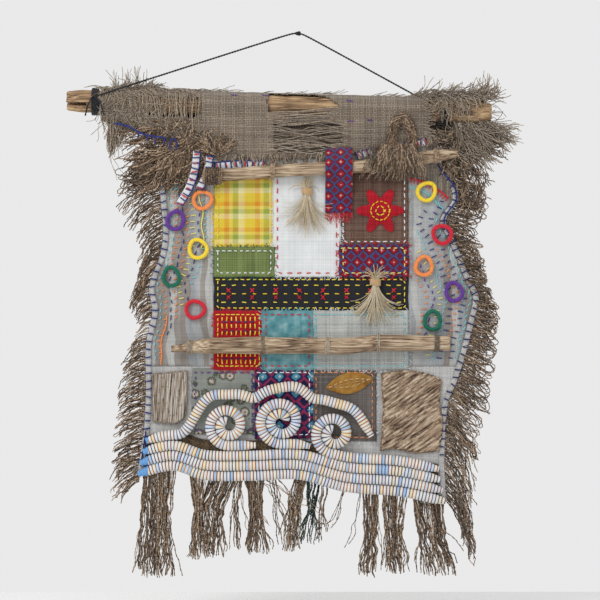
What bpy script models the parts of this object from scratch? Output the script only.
"""Patchwork textile wall hanging: burlap folded over a branch pole, hung by a thin cord.

Sizes are millimetres, +X to the viewer's right, -Y to the front, +Z up.
The origin is the nail under the top of the hanging cord.
Drop means millimetres below the nail.
"""

import math
import random

import bmesh
import bpy
from mathutils import Vector

MM = 0.001
SEED = 11

# Driving sizes
GAP = 0.7
CLOTH = 2.0
PATCH = 1.0
CELL = 36.0
EDGE_STEP = 15.0
POLE_LEFT, POLE_RIGHT = -323.0, 270.0
POLE_DROP_LEFT, POLE_DROP_RIGHT = 95.0, 111.0
POLE_RADIUS = 15.6
HEADER_RADIUS = 18.4
HEADER_LEFT, HEADER_RIGHT = -275.0, 283.0
BACK_SHORTER = 6.0
CORD_DIAMETER = 2.8
TIE_RADIUS = 18.3
TIE_HALF_WIDTH = 4.5
TIE_LEFT_X, TIE_RIGHT_X = -283.0, 202.5
ROPE_RADIUS = 6.3
ROPE_PITCH = 14.2
RING_RADIUS, RING_TUBE = 12.5, 3.0
STRIP_RADIUS = 2.4
# Strand radii at the root, the middle and the tip
LOCK = (1.6, 2.9, 1.7)
TWIST = (1.5, 2.4, 1.6)
FRAY = (1.4, 1.8, 0.9)
FIBRE = (0.9, 1.4, 1.2)
UPPER_STICK_RADIUS = 9.5
LOWER_STICK_RADIUS = 12.3

# Edges of the ground cloth: (drop, x)
LEFT_EDGE = (
    (120, -190), (220, -193), (276, -189), (311, -193), (339, -204), (360, -209),
    (388, -204), (437, -213), (500, -213), (556, -216), (598, -222), (630, -226),
)
RIGHT_EDGE = (
    (130, 190), (185, 199), (213, 220), (234, 224), (262, 207), (290, 219), (318, 231),
    (343, 241), (370, 253), (409, 245), (437, 238), (465, 230), (493, 220), (514, 211),
    (556, 206), (605, 205), (664, 208),
)
# Lower edge of the rope band: (x, z)
LOWER_EDGE = (
    (-231, -626), (-176, -612), (-130, -625), (-67, -626), (3, -625), (66, -642),
    (143, -648), (213, -663),
)
# Front lower edge of the header: (x, z)
HEADER_EDGE = (
    (-275, -128), (-230, -143), (-186, -157), (-137, -175), (-95, -182), (66, -178),
    (157, -164), (200, -154), (283, -146),
)

# Patches: name, left, right, top, bottom, colour
PATCHES = (
    ("patch_plaid", -116.0, -34.0, -190.0, -300.0, (0.85, 0.62, 0.10)),
    ("patch_calico", -32.8, 58.0, -190.0, -340.0, (0.85, 0.85, 0.80)),
    ("patch_mauve", 59.2, 153.0, -190.0, -296.0, (0.33, 0.22, 0.18)),
    ("patch_green", -116.0, -34.0, -301.2, -340.0, (0.30, 0.38, 0.16)),
    ("patch_woven", 59.2, 153.0, -297.2, -340.0, (0.35, 0.04, 0.10)),
    ("patch_black", -116.0, 153.0, -341.2, -389.0, (0.01, 0.012, 0.02)),
    ("patch_red", -116.0, -50.0, -390.2, -470.0, (0.60, 0.02, 0.03)),
    ("patch_turquoise", -48.8, 20.0, -390.2, -470.0, (0.20, 0.50, 0.55)),
    ("patch_linen", 21.2, 153.0, -390.2, -470.0, (0.62, 0.62, 0.55)),
    ("patch_floral", -147.0, -60.0, -471.2, -560.0, (0.50, 0.55, 0.50)),
    ("patch_navy", -58.8, 20.0, -471.2, -566.0, (0.08, 0.08, 0.25)),
    ("patch_grey", 21.2, 108.0, -471.2, -570.0, (0.25, 0.22, 0.20)),
)

# Rings: name, x, z, colour
RINGS = (
    ("ring_orange_left", -133.0, -234.0, (0.85, 0.25, 0.04)),
    ("ring_purple_left", -171.0, -262.0, (0.10, 0.03, 0.25)),
    ("ring_yellow_left", -140.0, -302.0, (0.85, 0.60, 0.02)),
    ("ring_green_left", -177.0, -341.0, (0.0, 0.13, 0.08)),
    ("ring_red_left", -143.0, -387.0, (0.55, 0.01, 0.02)),
    ("ring_yellow_right", 180.0, -222.0, (0.85, 0.60, 0.02)),
    ("ring_red_right", 201.0, -282.0, (0.55, 0.01, 0.02)),
    ("ring_orange_right", 176.0, -326.0, (0.85, 0.25, 0.04)),
    ("ring_purple_right", 218.0, -362.0, (0.10, 0.03, 0.25)),
    ("ring_green_right", 188.0, -402.0, (0.0, 0.13, 0.08)),
)

# Side fringes, along the cloth's edge: (drop, reach outwards, fall)
LEFT_FRINGE = (
    (160, 80, 24), (200, 70, 34), (265, 46, 52), (330, 36, 52), (385, 26, 34),
    (430, 32, 24), (480, 44, 20), (540, 46, 18), (600, 44, 22), (628, 38, 34),
)
RIGHT_FRINGE = (
    (190, 54, 18), (235, 48, 18), (290, 52, 24), (350, 32, 22), (400, 40, 26),
    (450, 48, 34), (510, 56, 44), (560, 48, 80), (605, 36, 124), (650, 26, 104),
)
SIDE_STRANDS = 48

# Bottom fringe bundles: left, right, lean at the tip, drop of the tip, strands
BUNDLES = (
    (-216, -170, -4, 762, 10),
    (-150, -134, -2, 731, 4),
    (-128, -92, -14, 727, 8),
    (-84, -76, 2, 726, 2),
    (-71, -36, 4, 727, 8),
    (-18, 0, 6, 724, 4),
    (8, 45, 3, 721, 8),
    (90, 112, -4, 762, 5),
    (118, 148, 4, 756, 7),
    (160, 202, 14, 759, 10),
)

# Header frays: x of the root, sideways, upwards at the tip
FRAY_LEFT = ((-264, -10, 10), (-255, -10, 20), (-238, -6, 29), (-222, 6, 32), (-204, 14, 14))
FRAY_TOP = ((218, 2, 20), (236, 6, 30), (258, 14, 26), (280, 26, 6))
FRAY_BRUSH = ((234, 2, -42), (248, 14, -50), (266, 24, -46), (281, 33, -26))

# Coils of rope: x, whole turns
COILS = ((-98.0, 1.5), (-24.0, 1.75), (50.0, 1.5))


def fresh_scene():
    for old in list(bpy.data.objects):
        bpy.data.objects.remove(old, do_unlink=True)
    made = []
    for name in ("wall_hanging", "cutters_and_guides"):
        group = bpy.data.collections.new(name)
        bpy.context.scene.collection.children.link(group)
        made.append(group)
    return made


PARTS, HELPERS = fresh_scene()


def smooth(t):
    t = min(max(t, 0.0), 1.0)
    return t * t * (3.0 - 2.0 * t)


def along(rows, u):
    """The value at u on the smooth curve through rows of (u, value)."""
    if u <= rows[0][0]:
        return rows[0][1]
    if u >= rows[-1][0]:
        return rows[-1][1]
    i = max(k for k in range(len(rows) - 1) if rows[k][0] <= u)
    (u0, v0), (u1, v1) = rows[i], rows[i + 1]
    before, after = rows[max(i - 1, 0)], rows[min(i + 2, len(rows) - 1)]
    span = u1 - u0
    t = (u - u0) / span
    slope0 = (v1 - before[1]) / (u1 - before[0]) * span
    slope1 = (after[1] - v0) / (after[0] - u0) * span
    rise = t * t * (3.0 - 2.0 * t)
    return v0 + (v1 - v0) * rise + slope0 * t * (1 - t) ** 2 - slope1 * t * t * (1 - t)


def mixed(rows, u):
    """Straight-line values between rows of (u, a, b)."""
    u = min(max(u, rows[0][0]), rows[-1][0])
    i = max(k for k in range(len(rows) - 1) if rows[k][0] <= u)
    low, high = rows[i], rows[i + 1]
    t = (u - low[0]) / (high[0] - low[0])
    return [a + (b - a) * t for a, b in zip(low[1:], high[1:])]


def steps(start, end, longest):
    count = max(1, math.ceil(abs(end - start) / longest))
    return [start + (end - start) * i / count for i in range(count + 1)]


def pole_z(x):
    share = (x - POLE_LEFT) / (POLE_RIGHT - POLE_LEFT)
    return -(POLE_DROP_LEFT + (POLE_DROP_RIGHT - POLE_DROP_LEFT) * share)


def cloth_y(x, z):
    """Depth of the ground cloth's middle: slow waves that fade out under the header."""
    hang = smooth((-z - 185.0) / 130.0)
    return hang * (2.4 * math.sin(x / 43.0 + 0.4) + 1.3 * math.sin(z / 57.0 + x / 130.0))


def front_of_patch(x, z):
    return cloth_y(x, z) - CLOTH / 2 - GAP - PATCH


def material(name, colour, roughness=0.9):
    made = bpy.data.materials.new(name)
    made.use_nodes = True
    shader = made.node_tree.nodes["Principled BSDF"]
    shader.inputs["Base Color"].default_value = (*colour, 1.0)
    shader.inputs["Roughness"].default_value = roughness
    return made


JUTE = material("jute", (0.13, 0.09, 0.06))
BURLAP = material("burlap", (0.27, 0.23, 0.19))
LINEN = material("pale linen", (0.55, 0.56, 0.52))
WOOD = material("weathered wood", (0.38, 0.27, 0.16), 0.7)
BARK = material("bark", (0.22, 0.14, 0.09), 0.95)
TWINE = material("black twine", (0.02, 0.02, 0.02))
RAG = material("rag-wrapped rope", (0.75, 0.75, 0.70))
SISAL = material("sisal", (0.72, 0.62, 0.44))


def put(name, mesh, finish, group=None):
    piece = bpy.data.objects.new(name, mesh)
    (group or PARTS).objects.link(piece)
    mesh.materials.clear()
    mesh.materials.append(finish)
    return piece


def helper(piece):
    piece.hide_render = True
    piece.display_type = "WIRE"
    return piece


def mesh_of(piece):
    """The object's evaluated mesh in place, its caps welded and its faces turned outwards."""
    graph = bpy.context.evaluated_depsgraph_get()
    mesh = bpy.data.meshes.new_from_object(piece.evaluated_get(graph))
    mesh.transform(piece.matrix_world)
    form = bmesh.new()
    form.from_mesh(mesh)
    bmesh.ops.remove_doubles(form, verts=form.verts, dist=1e-6)
    bmesh.ops.recalc_face_normals(form, faces=form.faces)
    form.to_mesh(mesh)
    form.free()
    return mesh


def sheet(name, loops, place, cuts_u, cuts_v, thickness, finish):
    """A flat outline with holes, cut along grid lines, laid in place and thickened."""
    curve = bpy.data.curves.new(name, "CURVE")
    curve.dimensions = "2D"
    curve.fill_mode = "BOTH"
    for loop in loops:
        spline = curve.splines.new("POLY")
        spline.points.add(len(loop) - 1)
        for point, (u, v) in zip(spline.points, loop):
            point.co = (u * MM, v * MM, 0.0, 1.0)
        spline.use_cyclic_u = True
    flat = bpy.data.objects.new(name + "_pattern", curve)
    HELPERS.objects.link(flat)
    bpy.context.view_layer.update()
    mesh = mesh_of(flat)
    bpy.data.objects.remove(flat, do_unlink=True)
    form = bmesh.new()
    form.from_mesh(mesh)
    bmesh.ops.dissolve_limit(form, angle_limit=0.01, verts=form.verts, edges=form.edges)
    for normal, cuts in (((1, 0, 0), cuts_u), ((0, 1, 0), cuts_v)):
        for cut in cuts:
            whole = [*form.verts, *form.edges, *form.faces]
            at = Vector(normal) * cut * MM
            bmesh.ops.bisect_plane(form, geom=whole, plane_co=at, plane_no=normal, dist=1e-6)
    for vert in form.verts:
        vert.co = Vector(place(vert.co.x / MM, vert.co.y / MM)) * MM
    form.to_mesh(mesh)
    form.free()
    piece = put(name, mesh, finish)
    shell = piece.modifiers.new("thickness", "SOLIDIFY")
    shell.thickness = thickness * MM
    shell.offset = 0.0
    return piece


def grid(low, high):
    return [CELL * k for k in range(math.ceil(low / CELL), math.floor(high / CELL) + 1)]


def laid_sheet(name, loops, depth, thickness, finish):
    """A sheet that follows the ground cloth, its middle this far in front of the cloth's."""
    us = [u for loop in loops for u, v in loop]
    vs = [v for loop in loops for u, v in loop]
    return sheet(
        name, loops, lambda x, z: (x, cloth_y(x, z) - depth, z),
        grid(min(us), max(us)), grid(min(vs), max(vs)), thickness, finish,
    )


def tube(name, points, radius, resolution, finish, radii=None, group=None):
    curve = bpy.data.curves.new(name, "CURVE")
    curve.dimensions = "3D"
    curve.bevel_depth = radius * MM
    curve.bevel_resolution = resolution
    curve.use_fill_caps = True
    add_spline(curve, points, radii or [1.0] * len(points))
    curve.materials.append(finish)
    piece = bpy.data.objects.new(name, curve)
    (group or PARTS).objects.link(piece)
    return piece


def add_spline(curve, points, radii):
    spline = curve.splines.new("POLY")
    spline.points.add(len(points) - 1)
    for point, place, radius in zip(spline.points, points, radii):
        point.co = (*(Vector(place) * MM), 1.0)
        point.radius = radius


def strand_section():
    """A triangle one millimetre in radius, the section of every strand."""
    curve = bpy.data.curves.new("strand_section", "CURVE")
    curve.dimensions = "2D"
    curve.fill_mode = "NONE"
    turn = 2 * math.pi / 3
    corners = [(math.cos(turn * k), math.sin(turn * k), 0.0) for k in range(3)]
    add_spline(curve, corners, [1.0] * 3)
    curve.splines[0].use_cyclic_u = True
    section = bpy.data.objects.new("strand_section", curve)
    HELPERS.objects.link(section)
    return helper(section)


SECTION = strand_section()


def fused(name, backing, strands, finish):
    """One body: strands of (point, radius) rows, their roots fused into the backing."""
    curve = bpy.data.curves.new(name + "_strands", "CURVE")
    curve.dimensions = "3D"
    curve.bevel_mode = "OBJECT"
    curve.bevel_object = SECTION
    curve.use_fill_caps = True
    for strand in strands:
        add_spline(curve, [row[0] for row in strand], [row[1] for row in strand])
    loose = bpy.data.objects.new(name + "_curves", curve)
    HELPERS.objects.link(loose)
    bpy.context.view_layer.update()
    added = helper(put(name + "_strands", mesh_of(loose), finish, HELPERS))
    solid = put(name, mesh_of(backing), finish)
    for old in (loose, backing):
        bpy.data.objects.remove(old, do_unlink=True)
    join = solid.modifiers.new("strands", "BOOLEAN")
    join.operation = "UNION"
    join.solver = "EXACT"
    join.object = added
    return solid


def hanging_strand(root, sideways, rise, depth_mid, depth_tip, sizes, bow=0.0):
    """Rows of a strand from its root to its tip, bowed in the middle."""
    x, y, z = root
    middle = (x + sideways * 0.55 + bow, y + depth_mid, z + rise * 0.45)
    tip = (x + sideways, y + depth_tip, z + rise)
    return [(root, sizes[0]), (middle, sizes[1]), (tip, sizes[2])]


def make_pole():
    count = 22
    points, radii = [], []
    for i in range(count + 1):
        x = POLE_LEFT + (POLE_RIGHT - POLE_LEFT) * i / count
        points.append((x, 0.0, pole_z(x)))
        radii.append(1.0 + 0.025 * math.sin(1.9 * i) + 0.012 * math.sin(4.3 * i))
    radii[0], radii[-1] = 0.86, 0.8
    stock = tube("pole_stock", points, POLE_RADIUS, 4, WOOD, radii, HELPERS)
    bpy.context.view_layer.update()
    pole = put("top_pole", mesh_of(stock), WOOD)
    bpy.data.objects.remove(stock, do_unlink=True)
    split_long, split_high = 56.0, 4.5
    bpy.ops.mesh.primitive_cube_add(size=1.0)
    split = bpy.context.object
    split.name = "pole_split"
    split.location = Vector((POLE_LEFT, 0.0, pole_z(POLE_LEFT) - 1.0)) * MM
    split.scale = Vector((split_long, 3 * POLE_RADIUS, split_high)) * MM
    split.rotation_euler = (0.35, 0.0, 0.0)
    for group in list(split.users_collection):
        group.objects.unlink(split)
    HELPERS.objects.link(helper(split))
    cut = pole.modifiers.new("split end", "BOOLEAN")
    cut.operation = "DIFFERENCE"
    cut.object = split
    return pole


def header_leg(x):
    return pole_z(x) - along(HEADER_EDGE, x)


QUARTER = HEADER_RADIUS * math.pi / 2
LEG_END = CLOTH / 2 + GAP + CLOTH / 2
FIELD_LEFT, FIELD_RIGHT = PATCHES[0][1], PATCHES[2][2]


def header_place(x, s):
    """s runs over the pole from its top line, plus to the front, minus to the back."""
    side = -1.0 if s > 0 else 1.0
    reach = abs(s)
    if reach <= QUARTER:
        turn = reach / HEADER_RADIUS
        y = HEADER_RADIUS * math.sin(turn)
        return x, side * y, pole_z(x) + HEADER_RADIUS * math.cos(turn)
    down = reach - QUARTER
    drawn_in = smooth(down / header_leg(x))
    y = HEADER_RADIUS + (LEG_END - HEADER_RADIUS) * drawn_in
    return x, side * y, pole_z(x) - down


def header_windows():
    """Worn places in the open weave, in the cloth's flat pattern."""
    windows = []
    openings, thread = 5, 2.6
    left, right, low, high = -224.0, -136.0, 20.0, 50.0
    pitch = (right - left + thread) / openings
    for i in range(openings):
        x0 = left + pitch * i
        x1 = x0 + pitch - thread
        windows.append([(x0, low), (x1, low + 1.5), (x1, high - 2.0 * (i % 2)), (x0, high)])
    windows.append([(-42, 8), (20, 7), (42, 14), (56, 26), (40, 40), (-42, 43)])
    slit = TIE_HALF_WIDTH + 2.5
    x0, x1 = TIE_RIGHT_X - slit, TIE_RIGHT_X + slit
    windows.append([(180, 17), (180, 45), (x1, 45), (x1, -45), (x0, -45), (x0, 17)])
    first_pulled, pulled_pitch, pulled_high = 53.0, 10.0, 5.0
    for k in range(4):
        s = first_pulled + pulled_pitch * k
        end = s + pulled_high
        windows.append([(-34 + 3 * k, s), (58 - 4 * k, s), (62 - 5 * k, end), (-30, end)])
    return windows


def make_header():
    xs = steps(HEADER_LEFT, HEADER_RIGHT, 30.0)
    front = [(x, QUARTER + header_leg(x)) for x in xs]
    back = [(x, -(QUARTER + header_leg(x) - BACK_SHORTER)) for x in reversed(xs)]
    arc = [QUARTER * k / 3 for k in range(-3, 4)]
    legs = [sign * s for s in (40.0, 54.0, 70.0, 88.0) for sign in (1, -1)]
    loops = [front + back, *header_windows()]
    return sheet(
        "header_cloth", loops, header_place, grid(HEADER_LEFT, HEADER_RIGHT)[::2],
        arc + legs, CLOTH, BURLAP,
    )


def make_ground():
    hidden = 26.0
    left = [(along(LEFT_EDGE, drop), -drop) for drop in steps(150, 620, EDGE_STEP)]
    xs = steps(-205, 200, 22.0)
    bottom = [(x, along(LOWER_EDGE, x) + 5.0) for x in xs]
    right = [(along(RIGHT_EDGE, drop), -drop) for drop in steps(645, 160, EDGE_STEP)]
    top = [(188.0, pole_z(188.0) - hidden), (-186.0, pole_z(-186.0) - hidden)]
    return laid_sheet("ground_cloth", [left + bottom + right + top], 0.0, CLOTH, LINEN)


PATCH_DEPTH = CLOTH / 2 + GAP + PATCH / 2
APPLIQUE_DEPTH = PATCH_DEPTH + PATCH + GAP


def make_patches():
    for name, left, right, top, bottom, colour in PATCHES:
        loop = [(left, top), (left, bottom), (right, bottom), (right, top)]
        laid_sheet(name, [loop], PATCH_DEPTH, PATCH, material(name, colour))


def make_side_panels():
    inset, inner = 9.0, 1.2
    top_left, top_right, bottom = 216.0, 200.0, 464.0
    left = [(along(LEFT_EDGE, d) + inset, -d) for d in steps(top_left, bottom, 18.0)]
    left += [(FIELD_LEFT - inner, -bottom), (FIELD_LEFT - inner, -192.0), (-128.0, -top_left)]
    laid_sheet("side_panel_left", [left], PATCH_DEPTH, PATCH, LINEN)
    right = [(along(RIGHT_EDGE, d) - inset, -d) for d in steps(top_right, bottom, 16.0)]
    right += [(FIELD_RIGHT + inner, -bottom), (FIELD_RIGHT + inner, -top_right)]
    laid_sheet("side_panel_right", [right], PATCH_DEPTH, PATCH, LINEN)


def make_appliques():
    flower = []
    flower_x, flower_z, mean_reach, swing = 115.0, -249.0, 26.0, 8.0
    petals, per_petal = 6, 4
    for i in range(petals * per_petal):
        turn = 2 * math.pi * i / (petals * per_petal)
        reach = mean_reach + swing * math.cos(petals * turn)
        flower.append((flower_x + reach * math.cos(turn), flower_z + reach * math.sin(turn)))
    red = material("red cotton", (0.60, 0.02, 0.03))
    laid_sheet("applique_flower", [flower], APPLIQUE_DEPTH, PATCH, red)
    leaf = []
    leaf_x, leaf_z = 72.0, -490.0
    half_long, half_wide, sides, tilt = 34.0, 15.0, 8, 0.2
    for sign in (1, -1):
        for i in range(sides):
            t = i / sides
            x = sign * half_long * (2 * t - 1)
            z = sign * half_wide * math.sin(math.pi * t) ** 0.8
            leaf.append((
                leaf_x + x * math.cos(tilt) - z * math.sin(tilt),
                leaf_z + x * math.sin(tilt) + z * math.cos(tilt),
            ))
    ochre = material("ochre cloth", (0.62, 0.36, 0.08))
    laid_sheet("applique_leaf", [leaf], APPLIQUE_DEPTH, PATCH, ochre)


STICKS = {
    "upper": ((-133, -203), (-106, -200), (3, -192), (108, -186), (178, -175), (223, -169)),
    "lower": ((-176, -442), (-130, -438), (-20, -437), (60, -438), (112, -434), (211, -434)),
}


def make_stick(name, rows, radius, ends):
    points, radii = [], []
    xs = steps(rows[0][0], rows[-1][0], 24.0)
    for i, x in enumerate(xs):
        z = along(rows, x)
        y = front_of_patch(x, z) - GAP - radius
        points.append((x, y, z))
        radii.append(0.96 + 0.035 * math.sin(2.3 * i))
    radii[0], radii[-1] = ends
    return tube(name, points, radius, 2, WOOD, radii)


def make_tab():
    """Woven tape that holds the upper stick: its path in depth and height, then laid along x."""
    path = (
        (-7.6, 28.0), (-18.0, 14.0), (-23.6, 5.0), (-23.6, -5.0), (-18.0, -15.0),
        (-6.4, -34.0), (-4.0, -46.0), (-4.0, -62.0),
    )
    lengths = [0.0]
    for (y0, z0), (y1, z1) in zip(path, path[1:]):
        lengths.append(lengths[-1] + math.hypot(y1 - y0, z1 - z0))
    rows = [(s, y, z) for s, (y, z) in zip(lengths, path)]

    def place(x, s):
        y, z = mixed(rows, s)
        return x, y, z + along(STICKS["upper"], x)

    left, right, end = 38.0, 76.0, lengths[-1]
    loop = [(left, 0.0), (right, 0.0), (right, end), (left, end)]
    tape = material("woven tape", (0.35, 0.04, 0.10))
    return sheet("stick_tape", [loop], place, [57.0], lengths[1:-1], 1.2, tape)


def make_slabs():
    thickness = 7.0
    depth = CLOTH / 2 + GAP + thickness / 2
    bark = [
        (114, -478), (120, -475), (154, -472), (186, -478), (201, -486), (198, -520),
        (203, -548), (197, -584), (164, -588), (134, -582), (115, -585), (118, -530),
    ]
    laid_sheet("bark_slab", [bark], depth, thickness, BARK)
    wood = [(-205, -477), (-154, -472), (-156, -530), (-170, -547), (-204, -544)]
    laid_sheet("wood_slab", [wood], depth, thickness, WOOD)


def make_rings():
    for name, x, z, colour in RINGS:
        bpy.ops.mesh.primitive_torus_add(
            major_radius=RING_RADIUS * MM, minor_radius=RING_TUBE * MM,
            major_segments=12, minor_segments=5, rotation=(math.pi / 2, 0.0, 0.0),
        )
        made = bpy.context.object
        mesh = made.data.copy()
        mesh.transform(made.matrix_basis)
        bpy.data.objects.remove(made, do_unlink=True)
        for vert in mesh.vertices:
            px, pz = x + vert.co.x / MM, z + vert.co.z / MM
            front = front_of_patch(px, pz) - GAP - RING_TUBE
            vert.co = Vector((px, front + vert.co.y / MM, pz)) * MM
        put(name, mesh, material(name, colour, 0.6))


def rope_z(x, row):
    return along(LOWER_EDGE, x) + ROPE_RADIUS + 0.5 + ROPE_PITCH * row


def rope(name, flat_points):
    points = [(x, front_of_patch(x, z) - GAP - ROPE_RADIUS, z) for x, z in flat_points]
    return tube(name, points, ROPE_RADIUS, 1, RAG)


def make_ropes():
    """Three long rows, and over them coils whose tails run on to the next coil."""
    spacing, start, per_turn = 16.0, 6.9, 15
    last_tail, wave_left, wave_right = 196.0, -213.0, 103.0
    for row, (left, right) in enumerate(((-224, 206), (-221, 201), (-217, 199))):
        rope(f"rope_row_{row + 1}", [(x, rope_z(x, row)) for x in steps(left, right, spacing)])
    ends = []
    for x, turns in COILS:
        outer = start + ROPE_PITCH * turns
        ends.append((x, outer, rope_z(x, 3) + outer))
    for i, (x, outer, centre_z) in enumerate(ends):
        turns = COILS[i][1]
        count = round(per_turn * turns)
        flat = []
        for k in range(count + 1):
            share = k / count
            turn = -math.pi / 2 - 2 * math.pi * turns * (1 - share)
            reach = start + ROPE_PITCH * turns * share
            flat.append((x + reach * math.cos(turn), centre_z + reach * math.sin(turn)))
        if i + 1 < len(ends):
            next_x, next_outer, _ = ends[i + 1]
            tail = next_x - math.sqrt((next_outer + ROPE_PITCH) ** 2 - next_outer**2) - 2.0
        else:
            tail = last_tail
        flat += [(u, rope_z(u, 3)) for u in steps(x, tail, spacing)[1:]]
        rope(f"rope_coil_{i + 1}", flat)

    def wave(x):
        """Height of the rope that runs over the coils: the third row, then the fourth."""
        def base(u):
            return rope_z(u, 3 + smooth((u - ends[0][0]) / (ends[-1][0] - ends[0][0])))

        rises = 0.0
        for coil_x, outer, centre_z in ends:
            over = outer + ROPE_PITCH + 1.0
            height = centre_z + over - base(coil_x)
            rises += (height * math.exp(-(((x - coil_x) / (over + 7.0)) ** 4))) ** 5
        return base(x) + rises**0.2

    flat = [(wave_left, wave(wave_left))]
    for x in steps(wave_left, wave_right, 1.0):
        here = (x, wave(x))
        if math.dist(here, flat[-1]) >= spacing * 0.8:
            flat.append(here)
    rope("rope_wave", flat)


def make_rope_base():
    """The jute strip under the ropes."""
    low, high = 6.0, 56.0
    xs = steps(-214, 196, 26.0)
    loop = [(x, along(LOWER_EDGE, x) + low) for x in xs]
    loop += [(x, along(LOWER_EDGE, x) + high) for x in reversed(xs)]
    return laid_sheet("rope_base", [loop], PATCH_DEPTH, PATCH, JUTE)


def side_fringe(name, edge, rows, outwards, clearance, sizes, seed):
    """Locks along one side: their roots in a strip just outside the cloth's edge."""
    rng = random.Random(seed)
    first, last = rows[0][0], rows[-1][0]
    off = clearance + STRIP_RADIUS

    def edge_point(drop):
        x = along(edge, drop) + outwards * off
        return x, cloth_y(x, -drop), -drop

    strip = tube(name + "_strip", [edge_point(d) for d in steps(first - 4, last + 4, EDGE_STEP)],
                 STRIP_RADIUS, 0, JUTE, None, HELPERS)
    strands = []
    for i in range(SIDE_STRANDS):
        drop = first + (last - first) * i / (SIDE_STRANDS - 1)
        reach, fall = mixed(rows, drop)
        longer = rng.uniform(0.78, 1.1)
        layer = 3.0 if i % 2 else -3.0
        strands.append(hanging_strand(
            edge_point(drop), outwards * reach * longer, -fall * longer,
            layer, layer * 1.2, sizes,
        ))
    return fused(name, strip, strands, JUTE)


def make_bottom_fringe():
    """Bundles of twisted strands under the rope band."""
    rng = random.Random(SEED + 3)
    off = STRIP_RADIUS + GAP + 0.9

    def root(x):
        z = along(LOWER_EDGE, x) + 5.0 - off
        return x, cloth_y(x, z), z

    strip = tube("bottom_strip", [root(x) for x in steps(-218, 206, 22.0)],
                 STRIP_RADIUS, 0, JUTE, None, HELPERS)
    strands = []
    for left, right, lean, drop, count in BUNDLES:
        for i in range(count):
            x = left + (right - left) * i / (count - 1)
            start = root(x)
            layer = 2.6 if i % 2 else -2.6
            down = drop + start[2] - rng.uniform(0.0, 26.0) * (i % 3 > 0)
            gather = ((left + right) / 2 - x) * 0.12
            strands.append(hanging_strand(
                start, lean + gather, -down, layer, layer * 1.1, TWIST,
            ))
    return fused("fringe_bottom", strip, strands, JUTE)


def make_frays():
    """Loose warp ends of the header: over its two ends and a brush under the right one."""
    rng = random.Random(SEED + 5)
    over = HEADER_RADIUS + CLOTH / 2 + GAP + STRIP_RADIUS
    for name, rows, count in (("fray_left", FRAY_LEFT, 12), ("fray_top_right", FRAY_TOP, 8)):
        first, last = rows[0][0], rows[-1][0]
        line = [(x, 0.0, pole_z(x) + over) for x in steps(first - 3, last + 3, 22.0)]
        strip = tube(name + "_strip", line, STRIP_RADIUS, 0, BURLAP, None, HELPERS)
        strands = []
        for i in range(count):
            x = first + (last - first) * i / (count - 1)
            sideways, rise = mixed(rows, x)
            longer = rng.uniform(0.7, 1.1)
            layer = 3.5 if i % 2 else -3.5
            root = (x, 0.0, pole_z(x) + over)
            strands.append(hanging_strand(
                root, sideways * longer, rise * longer, layer, layer * 1.6, FRAY,
            ))
        fused(name, strip, strands, BURLAP)
    first, last, count = FRAY_BRUSH[0][0], FRAY_BRUSH[-1][0], 14
    below = STRIP_RADIUS + 0.6

    def root(x):
        return x, -LEG_END, along(HEADER_EDGE, x) - below

    line = [root(x) for x in steps(first - 4, last + 2, 18.0)]
    strip = tube("brush_strip", line, STRIP_RADIUS, 0, BURLAP, None, HELPERS)
    strands = []
    for i in range(count):
        x = first + (last - first) * i / (count - 1)
        sideways, rise = mixed(FRAY_BRUSH, x)
        longer = rng.uniform(0.8, 1.1)
        forward = -6.0 - 2.5 * (i % 2)
        strands.append(hanging_strand(
            root(x), sideways * longer, rise * longer, forward, forward - 2.5, FRAY,
        ))
    fused("fray_brush", strip, strands, BURLAP)


# Jute tufts: name, centre, half sizes
TUFTS = (
    ("jute_tuft_left", (-168.0, -11.1, -181.0), (36.0, 8.0, 31.0)),
    ("jute_tuft_right", (143.0, -22.7, -139.0), (24.0, 8.0, 27.0)),
)


def make_tufts():
    for name, centre, half in TUFTS:
        form = bmesh.new()
        bmesh.ops.create_icosphere(form, subdivisions=2, radius=1.0)
        for vert in form.verts:
            lump = 1.0 - 0.10 * abs(math.sin(5.1 * vert.co.x + 3.7 * vert.co.z))
            place = [c + h * v * lump for c, h, v in zip(centre, half, vert.co)]
            vert.co = Vector(place) * MM
        mesh = bpy.data.meshes.new(name)
        form.to_mesh(mesh)
        form.free()
        put(name, mesh, JUTE)


# Fibre tassels: name, x, z of the head
TASSELS = (("tassel_calico", 13.0, -222.0), ("tassel_black", 108.0, -349.0))


def make_tassels():
    half = (9.0, 5.0, 7.0)
    per_layer, spread, long = 5, 2.7, 62.0
    for name, x, z in TASSELS:
        front = front_of_patch(x, z) - GAP - half[1]
        bpy.ops.mesh.primitive_uv_sphere_add(segments=10, ring_count=6, radius=1.0)
        head = bpy.context.object
        head.scale = Vector(half) * MM
        head.location = Vector((x, front, z)) * MM
        bpy.context.view_layer.update()
        strands = []
        for layer in range(2):
            for i in range(per_layer):
                off = (i - (per_layer - 1) / 2) + 0.4 * (layer - 0.5)
                root = (x + off * spread, front + 2.2 - 4.0 * layer, z - 1.0)
                length = long - 3.0 * off * off - 4.0 * layer
                back = front_of_patch(x + 9 * off, z - length) - GAP - 1.7
                tip_y = back - root[1] - 4.4 * layer
                strands.append(hanging_strand(
                    root, off * 7.0, -length, tip_y * 0.7, tip_y, FIBRE,
                ))
        fused(name, head, strands, SISAL)


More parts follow.
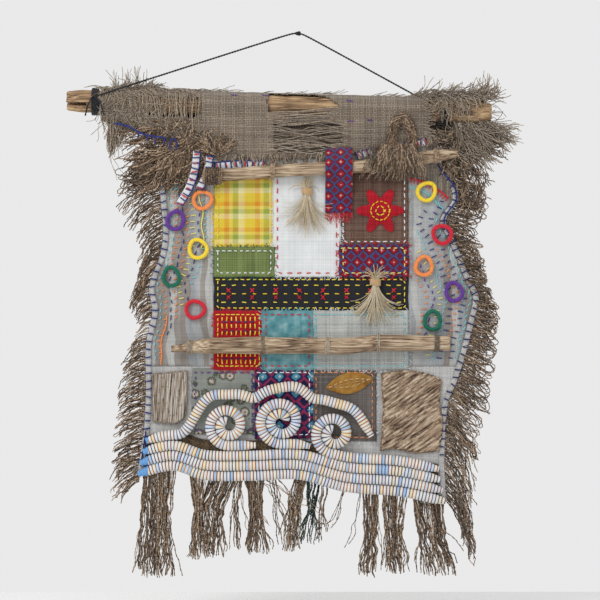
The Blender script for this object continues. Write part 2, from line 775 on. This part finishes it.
def make_ties():
    """Bands of wound twine round the pole: a thin ring, widened along the pole."""
    wound = 1.5
    for name, x in (("pole_tie_left", TIE_LEFT_X), ("pole_tie_right", TIE_RIGHT_X)):
        bpy.ops.mesh.primitive_torus_add(
            major_radius=TIE_RADIUS * MM, minor_radius=wound * MM, major_segments=16,
            minor_segments=6, rotation=(0.0, math.pi / 2, 0.0),
        )
        made = bpy.context.object
        mesh = made.data.copy()
        mesh.transform(made.matrix_basis)
        bpy.data.objects.remove(made, do_unlink=True)
        for vert in mesh.vertices:
            vert.co.x *= TIE_HALF_WIDTH / wound
            vert.co += Vector((x, 0.0, pole_z(x))) * MM
        put(name, mesh, TWINE)


def cord_point(x, end):
    """Taut run from the nail to an end (x, y, z), rounded over the nail."""
    round_over = 2.5
    slope = (-end[2] + round_over) / abs(end[0])
    z = round_over - math.sqrt((slope * x) ** 2 + round_over**2)
    return x, end[1] * x / end[0], z


def make_cord():
    left_end = (TIE_LEFT_X, -20.9, -91.0)
    right_end = (TIE_RIGHT_X, 21.3, -105.5)
    left_steps, right_steps = 33, 24
    points = [cord_point(TIE_LEFT_X * i / left_steps, left_end) for i in range(left_steps, 0, -1)]
    points.append((0.0, 0.0, 0.0))
    points += [cord_point(TIE_RIGHT_X * i / right_steps, right_end)
               for i in range(1, right_steps + 1)]
    return tube("hanging_cord", points, CORD_DIAMETER / 2, 2, TWINE)


make_pole()
make_header()
make_ground()
make_side_panels()
make_patches()
make_appliques()
make_stick("upper_stick", STICKS["upper"], UPPER_STICK_RADIUS, (0.85, 0.55))
make_stick("lower_stick", STICKS["lower"], LOWER_STICK_RADIUS, (0.45, 0.85))
make_tab()
make_slabs()
make_rings()
make_rope_base()
make_ropes()
side_fringe("fringe_left", LEFT_EDGE, LEFT_FRINGE, -1, 1.4, LOCK, SEED + 1)
side_fringe("fringe_right", RIGHT_EDGE, RIGHT_FRINGE, 1, 2.0, TWIST, SEED + 2)
make_bottom_fringe()
make_frays()
make_tufts()
make_tassels()
make_ties()
make_cord()
